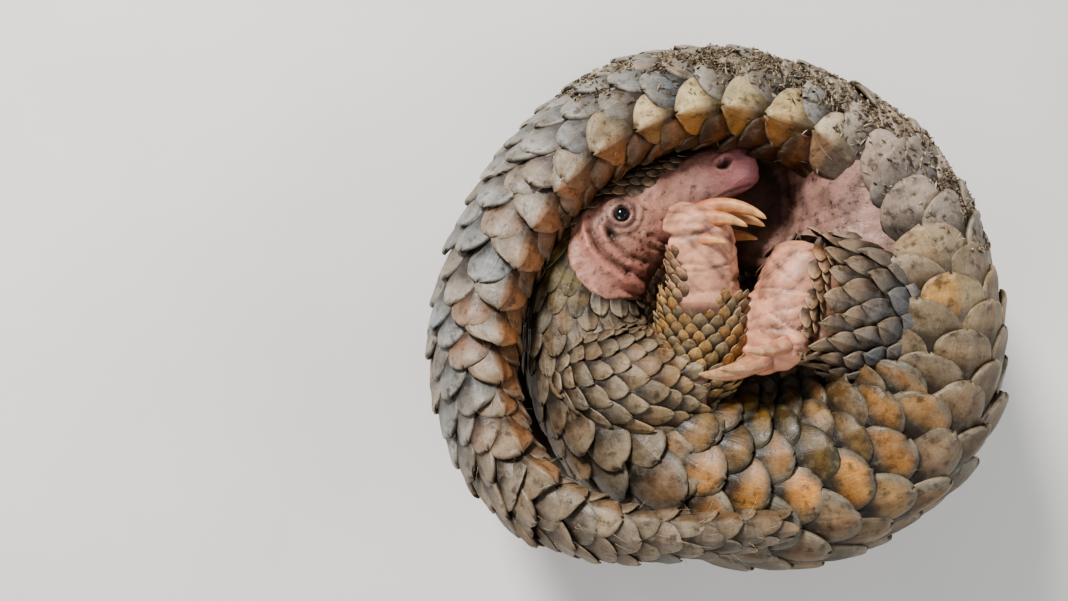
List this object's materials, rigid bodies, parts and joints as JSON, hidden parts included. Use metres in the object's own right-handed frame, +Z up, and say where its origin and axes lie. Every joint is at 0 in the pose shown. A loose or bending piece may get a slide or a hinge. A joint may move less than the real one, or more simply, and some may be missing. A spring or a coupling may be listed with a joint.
{
  "type": "curled pangolin figure",
  "caption": "Life-size still figure of a young pangolin curled on its side, with overlapping raised scales, clawed feet, tucked head and a long tail wrapped round.",
  "frame": {"origin": "on the floor below the middle of the bounding box", "axes": "+Z up and through the curl from its left side to its right side, +X from the nape's side of the curl to the rump's, +Y from the flank to the root of the tail"},
  "size_m": [0.2868, 0.264, 0.1663],
  "materials": {
    "scales": "horn scales, grey-brown with amber and cream faces, satin",
    "skin": "bare pink-grey skin, matte with a slight sheen",
    "claw": "horn claws, cream to amber, satin",
    "eye": "wet black eye, glossy"
  },
  "bodies": {
    "root": {"head": "skin", "neck": "scales", "torso_chest": "scales", "torso_waist": "scales", "torso_loin": "scales", "torso_hip": "scales", "torso_rump": "scales", "tail_1": "scales", "tail_2": "scales", "tail_3": "scales", "tail_4": "scales", "tail_5": "scales", "tail_6": "scales", "eye_right": "eye", "ear_right": "skin", "foreleg_right": "scales", "forefoot_right": "skin", "hindleg_right": "scales", "hindfoot_right": "skin", "foreclaw_right_1": "claw", "foreclaw_right_2": "claw", "foreclaw_right_3": "claw", "foreclaw_right_4": "claw", "foreclaw_right_5": "claw", "hindclaw_right_1": "claw", "hindclaw_right_2": "claw", "hindclaw_right_3": "claw", "hindclaw_right_4": "claw", "hindclaw_right_5": "claw", "eye_left": "eye", "ear_left": "skin", "foreleg_left": "scales", "forefoot_left": "skin", "hindleg_left": "scales", "hindfoot_left": "skin", "foreclaw_left_1": "claw", "foreclaw_left_2": "claw", "foreclaw_left_3": "claw", "foreclaw_left_4": "claw", "foreclaw_left_5": "claw", "hindclaw_left_1": "claw", "hindclaw_left_2": "claw", "hindclaw_left_3": "claw", "hindclaw_left_4": "claw", "hindclaw_left_5": "claw"}
  },
  "joints": []
}
